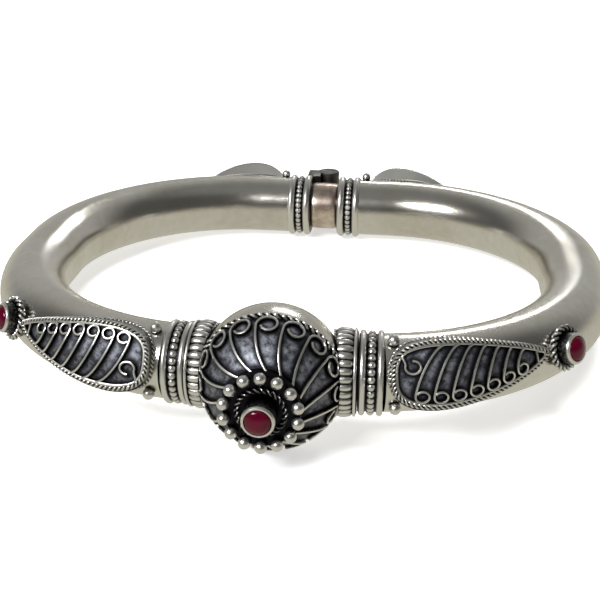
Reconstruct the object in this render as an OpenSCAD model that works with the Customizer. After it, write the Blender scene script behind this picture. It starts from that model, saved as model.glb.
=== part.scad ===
// Hinged tube bangle: a hollow silver tube in two halves, a filigree ball and flower at the front,
// teardrop filigree panels along the outer face, and a pin hinge at the back.

/* [Ring] */
// Half the length of the straight behind the ball
front_flat = 7.6; // [6:0.2:10]
// Radius of the centre line round each front corner
front_radius = 27; // [25:0.2:29]
// Length of the straight at each side
side_straight = 4.6; // [2:0.2:8]
// Radius of the centre line round each back corner
back_radius = 24.8; // [22:0.2:27]
// Radius of the tube
tube_r = 4.2; // [3.8:0.1:4.6]
// Wall of the tube and of the ball
wall = 0.7; // [0.6:0.1:1]

/* [Ball] */
// Radius of the ball
ball_r = 7.8; // [7.4:0.1:8.1]
// How far the ball's centre lies in front of the centre line
ball_forward = 1.9; // [1:0.1:2.5]
// How far in front of the ball's centre its twisted wire lies
rope_plane = 1.3; // [0.8:0.1:2]
// Number of curled ribs on the dome
rib_count = 16; // [12:1:18]

/* [Flower] */
// Number of grains round the flower
grain_count = 14; // [12:1:16]
// Radius of the circle through the grains
grain_circle = 3.85; // [3.6:0.05:4]
// Radius of a grain
grain_r = 0.65; // [0.5:0.05:0.7]
// Distance of the flower's rim from the ball's centre
flower_reach = 10.3; // [9.8:0.1:11]
// Radius of a ruby
ruby_r = 1.45; // [1.2:0.05:1.6]

/* [Rings] */
// Radius of the collars beside the ball, at their crest
collar_r = 4.85; // [4.6:0.05:5]
// Radius of the ring sets
ring_r = 4.6; // [4.45:0.05:4.8]
// Width of a front ring set
front_set = 2.6; // [2.2:0.05:2.8]
// Width of a back ring set
back_set = 3.4; // [3:0.1:3.8]

/* [Panels] */
// Length of a front panel
front_panel = 15.9; // [14:0.1:16.1]
// Length of a back panel
back_panel = 10.6; // [9:0.1:12]
// Half the width of a panel at its widest
panel_half = 3.6; // [3:0.1:3.7]
// Height of a panel's rim over the tube's axis
panel_level = 5.35; // [5:0.05:5.6]
// How far the panels face upwards
panel_tilt = 22; // [10:1:30]
// Number of curled wires on a front panel
front_curls = 7; // [5:1:8]
// Number of curled wires on a back panel
back_curls = 4; // [3:1:5]

/* [Side settings] */
// Distance along the tube from the ball to a side setting
side_at = 30.6; // [30.4:0.1:32]
// How far the side settings face upwards
side_tilt = 16; // [8:1:24]
// Height of a side setting's rim over the tube's axis
side_reach = 6.2; // [6:0.1:7.2]

/* [Hinge] */
// Radius of the hinge barrel
barrel_r = 1.65; // [1.4:0.05:1.8]
// Radius of the hinge pin
pin_r = 0.6; // [0.5:0.05:0.7]
// Half the height of the hinge barrel
barrel_half = 3.9; // [3.4:0.1:4]
// Half the width of the band between the back ring sets
band_half = 1.95; // [1.7:0.05:2.2]
// Radius of that band
band_r = 3.5; // [3.2:0.1:3.8]

/* [Hidden] */
$fn = 64;

// Clearance between soldered neighbours, and at the seam where the bangle opens
gap = 0.05;
seam = 0.25;

// The centre line of a half: straights at the front, side and back, with a quarter circle between each
half_width = front_flat + front_radius;
side_from = front_flat + front_radius * PI / 2;
side_to = side_from + side_straight;
back_flat = half_width - back_radius;
back_from = side_to + back_radius * PI / 2;
half_len = back_from + back_flat;
ring_depth = front_radius + side_straight + back_radius;
front_y = -ring_depth / 2;
back_y = ring_depth / 2;
front_corner = [front_flat, front_y + front_radius, 0];
back_corner = [back_flat, back_y - back_radius, 0];

function path_angle(s) = s < front_flat ? 0
    : s < side_from ? (s - front_flat) / front_radius * 180 / PI
    : s < side_to ? 90
    : s < back_from ? 90 + (s - side_to) / back_radius * 180 / PI : 180;
function path_point(s) = let (a = path_angle(s), way = [sin(a), -cos(a), 0])
    s < front_flat ? [s, front_y, 0]
    : s < side_from ? front_corner + front_radius * way
    : s < side_to ? [half_width, front_corner.y + s - side_from, 0]
    : s < back_from ? back_corner + back_radius * way
    : [half_len - s, back_y, 0];

// Stations along the tube, from the middle of the ball; collars and front ring sets stand square to
// the tube at the seam, so that the faces of the seam are parallel
seam_at = 8.85;
collar_width = 2.6;
tube_end = seam_at + seam + front_set + gap;
back_set_at = band_half + 2 * gap;
back_tube_end = back_set_at + back_set + gap;
panel_at = tube_end + 0.15;
back_panel_at = back_tube_end + 1.3;

// The bangle rests on the ball and on its back ring sets, so it lies a little nose up
ball_y = front_y - ball_forward;
rest_angle = asin((ball_r - ring_r) / (back_y - ball_y));
rest_height = ball_r + ball_y * sin(rest_angle);
cabochon = 0.55;
front_reach = flower_reach + cabochon - ball_y;
pin_y = back_y + ring_r + 1;
back_reach = pin_y + barrel_r;
rest_y = ((front_reach - back_reach) * cos(rest_angle) - barrel_half * sin(rest_angle)) / 2;

// Edge of the blocks that cut away what lies on one side of a plane
block = 20;

module at_rest() {
    translate([0, rest_y, rest_height]) rotate([-rest_angle, 0, 0]) children();
}

// Frame on the centre line: X along the tube, Y inwards, Z up
module along(s) {
    translate(path_point(s)) rotate([0, 0, path_angle(s)]) children();
}

// Frame on the tube: Z outwards and turned up by tilt
module outward(s, tilt) {
    along(s) rotate([90 - tilt, 0, 0]) children();
}

module left() {
    mirror([1, 0, 0]) children();
}

// Solid rod along the centre line of the right half
module rod(r, s0, s1) {
    back_end = half_len - s1;
    translate(front_corner) mirror([0, 1, 0])
        rotate_extrude(angle = 90 - path_angle(s0), $fn = 180) translate([front_radius, 0]) circle(r);
    translate([half_width, front_corner.y, 0]) rotate([-90, 0, 0]) cylinder(r = r, h = side_straight);
    translate(back_corner)
        rotate_extrude(angle = 90, $fn = 180) translate([back_radius, 0]) circle(r);
    translate([back_end, back_y, 0]) rotate([0, 90, 0]) cylinder(r = r, h = back_flat - back_end);
}

// Half of the tube, its front end cut square to the ring set that starts at set_at past the seam
module tube_half(set_at) {
    spare = 1;
    set_end = set_at + front_set + gap;
    difference() {
        rod(tube_r, tube_end - spare, half_len - back_tube_end);
        rod(tube_r - wall, tube_end - 2 * spare, half_len - back_tube_end + spare);
        along(seam_at) translate([set_end - block, -block / 2, -block / 2]) cube(block);
    }
}

// Ring about the tube's own direction, drawn as a profile of [radius, along]
module about_tube() {
    rotate([0, 90, 0]) rotate_extrude() children();
}

bore_r = 3;

// Round ring of wire, its top at crest
module wire_ring(crest, wire_half, at) {
    translate([crest - wire_half, at]) circle(wire_half);
}

module collar_profile() {
    crest_arc = 1.5;
    neck = 1.6;
    translate([bore_r, -collar_width / 2 - neck]) square([0.7, collar_width / 2 + neck]);
    translate([bore_r, -collar_width / 2]) square([collar_r - 0.55 - bore_r, collar_width]);
    intersection() {
        translate([collar_r - crest_arc, 0]) circle(crest_arc);
        translate([bore_r, -collar_width / 2]) square([collar_r, collar_width]);
    }
}

module front_set_profile() {
    plain = 0.35;
    beaded = 0.48;
    core = ring_r - 0.35;
    translate([bore_r, 0]) square([core - bore_r, front_set]);
    wire_ring(ring_r, plain, plain);
    wire_ring(ring_r, beaded, front_set / 2);
    wire_ring(ring_r, plain, front_set - plain);
}

module back_set_profile() {
    core = ring_r - 0.45;
    translate([bore_r, 0]) square([core - bore_r, back_set]);
    for (i = [0:2]) wire_ring(ring_r, back_set / 6 - 0.02, back_set * (2 * i + 1) / 6);
}

end_plate = 0.6;

module plate() {
    rotate([0, 90, 0]) cylinder(r = bore_r + 0.3, h = end_plate);
}

// Tongue of the clasp: it follows the arc that the hinge gives it
tongue_thick = 1.2;
tongue_tall = 3;
tongue_radius = norm(path_point(seam_at + seam) - [0, pin_y, 0]);
tongue_start = atan2(path_point(seam_at + seam).x, pin_y - path_point(seam_at + seam).y);
tongue_sweep = 3.8;
tongue_foot = 0.13;

// Solid of the tongue, grown all round and run past its foot by a few tenths of a degree
module tongue(grow, past) {
    translate([0, pin_y, 0]) rotate([0, 0, tongue_start - 90 - tongue_sweep])
        rotate_extrude(angle = tongue_sweep - tongue_foot + past, $fn = 360)
            translate([tongue_radius - tongue_thick / 2 - grow, -tongue_tall / 2 - grow])
                square([tongue_thick + 2 * grow, tongue_tall + 2 * grow]);
}

// Ball

module ball_at() {
    translate([0, ball_y, 0]) children();
}

// What lies in front of, or behind, an upright plane across the bangle
module in_front_of(y) {
    translate([-block / 2, y - block, -block / 2]) cube(block);
}

module behind(y) {
    translate([-block / 2, y, -block / 2]) cube(block);
}

// Ball with its poles in front and behind
module ball(r) {
    rotate([90, 0, 0]) rotate([0, 0, 90]) sphere(r, $fn = 96);
}

module hollow_ball(r) {
    difference() {
        ball(r);
        ball(r - wall);
    }
}

rope_r = 0.32;
dome_r = ball_r - 0.3;
wire_tall = 0.42;
// Radius of the room that the collars leave for the ball, its twisted wire and its ribs
ball_room = ball_r + 0.2;

module ball_shell() {
    color("lightgray") at_rest() difference() {
        ball_at() hollow_ball(ball_r);
        ball_at() in_front_of(-rope_plane + rope_r + gap);
        tongue(0.25, 0.5);
    }
}

module ball_rope() {
    rope_ring = sqrt(pow(ball_r, 2) - pow(rope_plane, 2)) - 0.2;
    color("silver") at_rest() ball_at() translate([0, -rope_plane, 0]) rotate([90, 0, 0])
        rotate_extrude($fn = 96) translate([rope_ring, 0]) circle(rope_r);
}

flower_base = 4;

module ball_dome() {
    color("dimgray") at_rest() ball_at() difference() {
        hollow_ball(dome_r);
        behind(-rope_plane - rope_r - gap);
        rotate([90, 0, 0]) cylinder(r = flower_base + gap, h = block);
    }
}

// A curled wire in the plane: from its foot along a stem and round a loop, the loop at the far end
function bezier(a, b, c, d, n) = [for (i = [0:n - 1]) let (u = i / n)
    pow(1 - u, 3) * a + 3 * u * pow(1 - u, 2) * b + 3 * u * u * (1 - u) * c + pow(u, 3) * d];
function curl(foot, bend, centre, r, sweep, steps = 6, turns = 9) = let (side = centre - [r, 0])
    concat(bezier(foot, bend, side - [0, 1.7 * r], side, steps),
        [for (i = [0:turns]) let (a = 180 - sweep * i / turns) centre + r * [cos(a), sin(a)]]);

// A flat wire along points of the plane, set on a surface by place(across, out, height)
module flat_wire(points, half, low, high, place, turned) {
    n = len(points);
    way = [for (i = [0:n - 1]) let (d = points[min(i + 1, n - 1)] - points[max(i - 1, 0)]) d / norm(d)];
    corners = [for (i = [0:n - 1]) let (side = half * [-way[i].y, way[i].x])
        for (c = [[1, low], [-1, low], [-1, high], [1, high]])
            let (p = points[i] + c[0] * side) place(p.x, p.y, c[1])];
    sides = [for (i = [0:n - 2]) for (k = [0:3]) let (a = 4 * i + k, b = 4 * i + (k + 1) % 4)
        for (f = [[a, b, b + 4], [a, b + 4, a + 4]]) f];
    last = 4 * n - 4;
    faces = concat(sides, [[2, 1, 0], [3, 2, 0]], [[last, last + 1, last + 2], [last, last + 2, last + 3]]);
    polyhedron(corners, turned ? [for (f = faces) [f[2], f[1], f[0]]] : faces, convexity = 6);
}

wire_half = 0.16;

function on_dome(across, out, height, turn) = let (
    polar = out / dome_r * 180 / PI,
    around = turn + across / (dome_r * sin(polar)) * 180 / PI)
    (dome_r + height) * [sin(polar) * sin(around), -cos(polar), sin(polar) * cos(around)];

// Polar angle that the ribs may reach, clear of the rim
rim_angle = acos((rope_plane + rope_r) / dome_r);

module dome_ribs() {
    loop_r = 0.9;
    foot = dome_r * asin((flower_base + 0.25) / dome_r) * PI / 180;
    reach = dome_r * rim_angle * PI / 180 - wire_half - 0.1;
    color("silver") at_rest() ball_at() for (k = [0:rib_count - 1])
        flat_wire(curl([0, foot], [-1.7, foot + 0.32 * (reach - foot)], [0.4, reach - loop_r], loop_r, 320),
            wire_half, gap, wire_tall, function (a, o, h) on_dome(a, o, h, k * 360 / rib_count), false);
}

module grain_ring(count, circle_r, level, r) {
    for (i = [0:count - 1]) rotate([0, 0, (i + 0.5) * 360 / count])
        translate([circle_r, 0, level]) sphere(r, $fn = 24);
}

cup_wall = 0.25;

module cup(bottom, top) {
    difference() {
        translate([0, 0, bottom]) cylinder(r = ruby_r + gap + cup_wall, h = top - bottom);
        translate([0, 0, top - 1.2]) cylinder(r = ruby_r + gap, h = 2);
    }
}

// Cabochon: a low dome on a round girdle that sits in its cup
module ruby(top) {
    dome_arc = (pow(ruby_r, 2) + pow(cabochon, 2)) / (2 * cabochon);
    intersection() {
        translate([0, 0, top + cabochon - dome_arc]) sphere(dome_arc, $fn = 64);
        translate([0, 0, top - 1.1]) cylinder(r = ruby_r, h = 3);
    }
}

module flower_setting() {
    base_top = 7.95;
    base_tall = 1.9;
    rope_circle = 2.4;
    rope_half = 0.25;
    color("silver") at_rest() ball_at() rotate([90, 0, 0]) {
        translate([0, 0, base_top - base_tall]) cylinder(r = flower_base, h = base_tall);
        grain_ring(grain_count, grain_circle, base_top + 0.5, grain_r);
        translate([0, 0, base_top + 0.15]) rotate_extrude() translate([rope_circle, 0]) circle(rope_half);
        cup(base_top - 0.5, flower_reach);
    }
}

module flower_ruby() {
    color("crimson") at_rest() ball_at() rotate([90, 0, 0]) ruby(flower_reach);
}

// Collars and ring sets

module collar() {
    difference() {
        along(seam_at) translate([-collar_width / 2, 0, 0]) about_tube() collar_profile();
        ball_at() ball(ball_room);
    }
}

module left_collar() {
    color("silver") at_rest() left() collar();
}

module right_collar() {
    color("silver") at_rest() difference() {
        union() {
            collar();
            along(seam_at) translate([-end_plate, 0, 0]) plate();
        }
        tongue(0.25, 0.5);
    }
}

module left_front_rings() {
    color("silver") at_rest() left() along(seam_at) translate([gap, 0, 0])
        about_tube() front_set_profile();
}

module right_front_rings() {
    color("silver") at_rest() along(seam_at) translate([seam, 0, 0]) {
        about_tube() front_set_profile();
        plate();
    }
}

module clasp_tongue() {
    color("gray") at_rest() tongue(0, 0);
}

module back_rings() {
    translate([back_set_at, back_y, 0]) {
        about_tube() back_set_profile();
        plate();
    }
}

module left_back_rings() {
    color("silver") at_rest() left() back_rings();
}

module right_back_rings() {
    color("silver") at_rest() back_rings();
}

// Panels

panel_wall = 0.45;
panel_lip = 0.4;
panel_dome = 0.55;
fullness = 0.65;

function panel_width(x, length, peak) = let (turn = 180 * pow(x / length, ln(0.5) / ln(peak)))
    panel_half * pow(max(0, sin(turn)), fullness);

// Outline of a panel as [along, across], from the blunt end round by the upper edge
function panel_outline(length, peak, n = 14) = let (
    xs = [for (i = [0:n]) length * (1 - cos(180 * i / n)) / 2])
    concat([for (i = [0:n]) [xs[i], i == 0 || i == n ? 0 : panel_width(xs[i], length, peak)]],
        [for (i = [n - 1:-1:1]) [xs[i], -panel_width(xs[i], length, peak)]]);
function inset(loop, by) = [for (i = [0:len(loop) - 1]) let (n = len(loop),
    d = loop[(i + 1) % n] - loop[(i + n - 1) % n]) loop[i] + by * [d.y, -d.x] / norm(d)];

// Point of a panel: along from its blunt end, across upwards, level over the tube's axis
function on_panel(start, way, x, across, level) = let (
    s = start + way * x,
    a = path_angle(s),
    out = [sin(a), -cos(a), 0],
    axis = cos(panel_tilt) * out + [0, 0, sin(panel_tilt)],
    side = -sin(panel_tilt) * out + [0, 0, cos(panel_tilt)])
    path_point(s) + level * axis + across * side;
function seat_level(across) = sqrt(pow(tube_r + 2 * gap, 2) - pow(across, 2));
function floor_level(x, across, length, peak) = let (
    w = max(panel_width(x, length, peak), 0.3),
    rise = max(0, 1 - pow(across / w, 2)) * sin(180 * x / length))
    panel_level - panel_lip + (panel_lip + panel_dome) * rise;

// One closed mesh: seat on the tube, wall, lip and domed floor
module panel_body(start, way, length, peak) {
    outer = panel_outline(length, peak);
    inner = inset(outer, panel_wall);
    n = len(outer);
    centre = [length * 0.42, 0];
    share = function (p, u) centre + u * (p - centre);
    seat = function (p) on_panel(start, way, p.x, p.y, seat_level(p.y));
    top = function (p) on_panel(start, way, p.x, p.y, floor_level(p.x, p.y, length, peak));
    loops = concat(
        [seat(centre)],
        [for (p = outer) seat(share(p, 0.35))],
        [for (p = outer) seat(share(p, 0.7))],
        [for (p = outer) seat(p)],
        [for (p = outer) on_panel(start, way, p.x, p.y, panel_level)],
        [for (p = inner) on_panel(start, way, p.x, p.y, panel_level)],
        [for (p = inner) top(p)],
        [for (p = inner) top(share(p, 0.66))],
        [for (p = inner) top(share(p, 0.33))],
        [top(centre)]);
    rows = 8;
    last = rows * n + 1;
    faces = concat(
        [for (i = [0:n - 1]) [0, 1 + i, 1 + (i + 1) % n]],
        [for (r = [0:rows - 2]) for (i = [0:n - 1]) let (a = 1 + r * n + i, b = 1 + r * n + (i + 1) % n)
            for (f = [[a, a + n, b + n], [a, b + n, b]]) f],
        [for (i = [0:n - 1]) [last, last - n + (i + 1) % n, last - n + i]]);
    polyhedron(loops, way < 0 ? [for (f = faces) [f[2], f[1], f[0]]] : faces, convexity = 6);
}

// Curled wires of a panel: loops along one edge, stems leaning to the point across to the other edge
module panel_curls(start, way, length, peak, count, up) {
    first = 2.6;
    last = 0.86 * length;
    pitch = (last - first) / count;
    lean = 0.2;
    off_edge = 0.2;
    edge = function (x) panel_width(x, length, peak) - panel_wall;
    place = function (across, out, height) let (x = across, t = up * out)
        on_panel(start, way, x, t, floor_level(x, t, length, peak) + height);
    for (i = [0:count - 1]) {
        x = first + pitch * i;
        r = min(0.35 * pitch, 0.36 * edge(x));
        centre = [x, edge(x) - r - wire_half - off_edge];
        foot_x = x + lean * (length - x);
        foot = [foot_x, off_edge + 0.1 - edge(foot_x)];
        flat_wire(curl(foot, (foot + centre) / 2 - [r, edge(x) / 5], centre, r, 215),
            wire_half, gap, wire_tall, place, way * up < 0);
    }
}

front_peak = 0.27;
back_peak = 0.4;

module front_panel_body() {
    panel_body(panel_at, 1, front_panel, front_peak);
}

module front_panel_curls(up) {
    panel_curls(panel_at, 1, front_panel, front_peak, front_curls, up);
}

module back_panel_body() {
    panel_body(half_len - back_panel_at, -1, back_panel, back_peak);
}

module back_panel_curls(up) {
    panel_curls(half_len - back_panel_at, -1, back_panel, back_peak, back_curls, up);
}

module left_front_panel() {
    color("gray") at_rest() left() front_panel_body();
}

module right_front_panel() {
    color("gray") at_rest() front_panel_body();
}

module left_front_curls() {
    color("silver") at_rest() left() front_panel_curls(1);
}

module right_front_curls() {
    color("silver") at_rest() front_panel_curls(-1);
}

module left_back_panel() {
    color("gray") at_rest() left() back_panel_body();
}

module right_back_panel() {
    color("gray") at_rest() back_panel_body();
}

module left_back_curls() {
    color("silver") at_rest() left() back_panel_curls(1);
}

module right_back_curls() {
    color("silver") at_rest() back_panel_curls(-1);
}

// Grains in the corners between a panel's blunt end and its ring set, and one at a back panel's point
grain_spread = 51;
grain_seat = 0.25;

module grain_on_tube(s, tilt) {
    outward(s, tilt) translate([0, 0, tube_r + grain_r - grain_seat]) sphere(grain_r, $fn = 24);
}

module corner_grains(s) {
    for (side = [-1, 1]) grain_on_tube(s, panel_tilt + side * grain_spread);
}

module front_grains() {
    difference() {
        corner_grains(tube_end + grain_r + gap);
        rod(tube_r + gap, tube_end, half_len - back_tube_end);
    }
}

module back_grains() {
    difference() {
        union() {
            corner_grains(half_len - back_tube_end - grain_r - gap);
            grain_on_tube(half_len - back_panel_at - back_panel - grain_r - 0.15, panel_tilt);
        }
        rod(tube_r + gap, tube_end, half_len - back_tube_end);
    }
}

module left_front_grains() {
    color("silver") at_rest() left() front_grains();
}

module right_front_grains() {
    color("silver") at_rest() front_grains();
}

module left_back_grains() {
    color("silver") at_rest() left() back_grains();
}

module right_back_grains() {
    color("silver") at_rest() back_grains();
}

// Side settings

module side_setting() {
    saddle_r = 2.3;
    rope_half = 0.3;
    rope_level = tube_r + rope_half + 0.1;
    foot = 3;
    difference() {
        outward(side_at, side_tilt) {
            translate([0, 0, foot]) cylinder(r = saddle_r, h = rope_level - foot);
            translate([0, 0, rope_level]) rotate_extrude()
                translate([saddle_r - rope_half / 2, 0]) circle(rope_half);
            cup(foot + 0.5, side_reach);
        }
        rod(tube_r + gap, tube_end, half_len - back_tube_end);
    }
}

module side_ruby() {
    outward(side_at, side_tilt) ruby(side_reach);
}

module left_side_setting() {
    color("silver") at_rest() left() side_setting();
}

module right_side_setting() {
    color("silver") at_rest() side_setting();
}

module left_side_ruby() {
    color("crimson") at_rest() left() side_ruby();
}

module right_side_ruby() {
    color("crimson") at_rest() side_ruby();
}

// Hinge

knuckle_half = 1.25;
arm_reach = 3.1;

module hinge_band() {
    color("tan") at_rest() translate([-band_half, back_y, 0]) rotate([0, 90, 0])
        cylinder(r = band_r, h = 2 * band_half);
}

// Knuckle on the pin from bottom to top, with an arm to the ring set on the side where way points
module knuckle(bottom, top, way, bore) {
    difference() {
        union() {
            translate([0, pin_y, bottom]) cylinder(r = barrel_r, h = top - bottom);
            translate([way < 0 ? -arm_reach : 0, back_y, bottom])
                cube([arm_reach, pin_y - back_y + barrel_r / 2, top - bottom]);
        }
        translate([0, pin_y, bottom - 1]) cylinder(r = bore, h = top - bottom + 2);
        translate([-block / 2, back_y, 0]) rotate([0, 90, 0]) cylinder(r = ring_r + gap, h = block);
    }
}

module left_knuckles() {
    for (side = [0, 1]) color("gray") at_rest() mirror([0, 0, side])
        knuckle(knuckle_half + 0.1, barrel_half, -1, pin_r + 0.01);
}

module right_knuckle() {
    color("gray") at_rest() knuckle(-knuckle_half, knuckle_half, 1, pin_r + 0.05);
}

module hinge_pin() {
    color("gray") at_rest() translate([0, pin_y, -barrel_half]) cylinder(r = pin_r, h = 2 * barrel_half);
}

module left_tube() {
    color("lightgray") at_rest() left() tube_half(gap);
}

module right_tube() {
    color("lightgray") at_rest() tube_half(seam);
}

left_tube();
right_tube();
ball_shell();
ball_rope();
ball_dome();
dome_ribs();
flower_setting();
flower_ruby();
left_collar();
right_collar();
left_front_rings();
right_front_rings();
left_front_panel();
right_front_panel();
left_front_curls();
right_front_curls();
left_front_grains();
right_front_grains();
left_side_setting();
right_side_setting();
left_side_ruby();
right_side_ruby();
left_back_panel();
right_back_panel();
left_back_curls();
right_back_curls();
left_back_grains();
right_back_grains();
left_back_rings();
right_back_rings();
hinge_band();
left_knuckles();
right_knuckle();
hinge_pin();
clasp_tongue();
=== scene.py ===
"""Looks of a hinged silver tube bangle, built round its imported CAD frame.

Every size is in millimetres in the bangle's own frame until a piece is finished: the ring lies flat,
the ball sits at the front of it on -Y and the hinge at the back on +Y. LAY_DOWN then takes a piece to
where the bangle lies on its ball and its back rings.
"""

import math

import bmesh
import bpy
from bpy.props import FloatProperty, FloatVectorProperty, IntProperty, PointerProperty
from mathutils import Matrix, Vector, kdtree


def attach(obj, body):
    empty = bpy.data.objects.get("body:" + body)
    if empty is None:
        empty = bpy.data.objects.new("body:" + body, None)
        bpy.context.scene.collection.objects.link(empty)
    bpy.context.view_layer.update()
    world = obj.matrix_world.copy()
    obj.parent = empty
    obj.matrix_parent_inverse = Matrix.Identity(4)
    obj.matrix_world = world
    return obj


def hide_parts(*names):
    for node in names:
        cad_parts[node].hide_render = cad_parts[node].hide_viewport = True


bl_info = {
    "name": "Hinged tube bangle",
    "version": (1, 0, 0),
    "blender": (4, 5, 0),
    "location": "3D Viewport > Sidebar > Bangle",
    "description": "Dresses the packed bangle in silver, wirework and cabochons",
    "category": "Object",
}

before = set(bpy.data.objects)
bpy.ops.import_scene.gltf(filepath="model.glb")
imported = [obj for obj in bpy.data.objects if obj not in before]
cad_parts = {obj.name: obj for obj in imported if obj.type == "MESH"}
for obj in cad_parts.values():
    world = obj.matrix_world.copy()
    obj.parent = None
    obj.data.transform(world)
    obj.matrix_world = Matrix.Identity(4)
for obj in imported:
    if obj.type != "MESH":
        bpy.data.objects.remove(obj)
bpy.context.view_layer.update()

LEFT, RIGHT = "left_half", "right_half"

# Centre line of a half: straights at the front, side and back, with a quarter circle between each
FRONT_FLAT = 7.6
FRONT_RADIUS = 27.0
SIDE_STRAIGHT = 4.6
BACK_RADIUS = 24.8
TUBE_R = 4.2
HALF_WIDTH = FRONT_FLAT + FRONT_RADIUS
SIDE_FROM = FRONT_FLAT + FRONT_RADIUS * math.pi / 2
SIDE_TO = SIDE_FROM + SIDE_STRAIGHT
BACK_FLAT = HALF_WIDTH - BACK_RADIUS
BACK_FROM = SIDE_TO + BACK_RADIUS * math.pi / 2
HALF_LEN = BACK_FROM + BACK_FLAT
RING_DEPTH = FRONT_RADIUS + SIDE_STRAIGHT + BACK_RADIUS
FRONT_Y = -RING_DEPTH / 2
BACK_Y = RING_DEPTH / 2
FRONT_CORNER = Vector((FRONT_FLAT, FRONT_Y + FRONT_RADIUS, 0))
BACK_CORNER = Vector((BACK_FLAT, BACK_Y - BACK_RADIUS, 0))

# Ball, flower, collars and rings
BALL_R = 7.8
BALL_Y = FRONT_Y - 1.9
BALL_ROOM = BALL_R + 0.2
DOME_R = 7.5
ROPE_PLANE = 1.3
FLOWER_BASE = 4.0
FLOWER_TOP = 7.95
FLOWER_REACH = 10.3
GRAIN_R = 0.65
RUBY_R = 1.45
CUP_WALL = 0.3
SEAM_AT = 8.85
SEAM = 0.25
COLLAR_WIDTH = 2.6
COLLAR_R = 4.85
RING_R = 4.6
FRONT_SET = 2.6
BACK_SET_AT = 2.05
BACK_SET = 3.4
BORE_R = 3.0
GAP = 0.05
TUBE_END = SEAM_AT + SEAM + FRONT_SET + GAP
BACK_TUBE_END = BACK_SET_AT + BACK_SET + GAP

# Panels and side settings
PANEL_AT = TUBE_END + 0.15
PANEL_TILT = math.radians(22)
PANEL_LEVEL = 5.35
PANEL_HALF = 3.6
PANEL_WALL = 0.45
PANEL_LIP = 0.4
PANEL_DOME = 0.55
PANEL_FULLNESS = 0.65
FRONT_PANEL = 15.9
BACK_PANEL = 10.6
BACK_PANEL_AT = HALF_LEN - BACK_TUBE_END - 1.3
SIDE_AT = 30.6
SIDE_TILT = math.radians(16)
SIDE_REACH = 6.2

# Hinge
PIN_Y = BACK_Y + RING_R + 1.0
BARREL_R = 1.65
BARREL_HALF = 3.9
ARM_REACH = 3.1
PIN_R = 0.6
KNUCKLE_HALF = 1.25
BAND_HALF = 1.95
BAND_R = 3.5

REST_ANGLE = math.asin((BALL_R - RING_R) / (BACK_Y - BALL_Y))
REST_HEIGHT = BALL_R + BALL_Y * math.sin(REST_ANGLE)
CABOCHON = 0.55
REST_Y = (
    (FLOWER_REACH + CABOCHON - BALL_Y - PIN_Y - BARREL_R) * math.cos(REST_ANGLE)
    - BARREL_HALF * math.sin(REST_ANGLE)
) / 2
LAY_DOWN = (
    Matrix.Scale(0.001, 4)
    @ Matrix.Translation((0, REST_Y, REST_HEIGHT))
    @ Matrix.Rotation(-REST_ANGLE, 4, "X")
)
TO_LEFT = Matrix.Scale(-1, 4, (1, 0, 0))
BALL = Matrix.Translation((0, BALL_Y, 0))
FLOWER = BALL @ Matrix.Rotation(math.pi / 2, 4, "X")


def path_angle(s):
    if s < SIDE_FROM:
        return max(0.0, (s - FRONT_FLAT) / FRONT_RADIUS)
    return min(math.pi / 2 + max(0.0, s - SIDE_TO) / BACK_RADIUS, math.pi)


def path_point(s):
    a = path_angle(s)
    out = Vector((math.sin(a), -math.cos(a), 0))
    if s < FRONT_FLAT:
        return Vector((s, FRONT_Y, 0))
    if s < SIDE_FROM:
        return FRONT_CORNER + FRONT_RADIUS * out
    if s < SIDE_TO:
        return Vector((HALF_WIDTH, FRONT_CORNER.y + s - SIDE_FROM, 0))
    if s < BACK_FROM:
        return BACK_CORNER + BACK_RADIUS * out
    return Vector((HALF_LEN - s, BACK_Y, 0))


def along(s):
    """Frame on the centre line: X along the tube, Y inwards, Z up."""
    return Matrix.Translation(path_point(s)) @ Matrix.Rotation(path_angle(s), 4, "Z")


def outward(s, tilt):
    """Frame on the tube: Z outwards and turned up by tilt."""
    return along(s) @ Matrix.Rotation(math.pi / 2 - tilt, 4, "X")


def frame_of(origin, side, up, way):
    """Matrix with the columns side, up and way at origin."""
    m = Matrix.Identity(4)
    for column, v in enumerate((side, up, way, origin)):
        for row in range(3):
            m[row][column] = v[row]
    return m


def frames_along(points, ups, closed=False):
    """Frames that follow points, their X to the side and their Y as near to the given up as can be."""
    n, rows = len(points), []
    for i, (p, up) in enumerate(zip(points, ups)):
        before = points[i - 1] if closed or i else p
        after = points[(i + 1) % n] if closed or i < n - 1 else p
        way = (after - before).normalized()
        side = up.cross(way).normalized()
        rows.append(frame_of(p, side, way.cross(side), way))
    return rows


def sweep(bm, outline, frames, closed=False, crest=None, fade=None):
    """Pulls a closed outline through a row of frames, as a grid rolled round it and joined up.

    crest gives each point of the outline its share of polish, from 0 in the recess to 1 on top
    (on a fluted panel wall, a painted shade instead); fade does the same for each frame."""
    layer = bm.verts.layers.float.get("crest") or bm.verts.layers.float.new("crest")
    shares = crest or [1.0] * len(outline)
    m, n = len(outline), len(frames) if closed else len(frames) - 1
    verts = bmesh.ops.create_grid(bm, x_segments=m, y_segments=n, size=0.5)["verts"]
    for v in verts:
        i, j = round((v.co.x + 0.5) * m) % m, round((v.co.y + 0.5) * n) % len(frames)
        v.co = frames[j] @ Vector((*outline[i], 0))
        v[layer] = shares[i] * (fade[j] if fade else 1.0)
    bmesh.ops.remove_doubles(bm, verts=verts, dist=1e-5)
    if not closed:
        ends = {e for v in verts if v.is_valid for e in v.link_edges if e.is_boundary}
        bmesh.ops.holes_fill(bm, edges=list(ends))
    return bm


def round_outline(r, sides):
    return [
        (r * math.cos(math.tau * i / sides), r * math.sin(math.tau * i / sides)) for i in range(sides)
    ]


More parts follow.
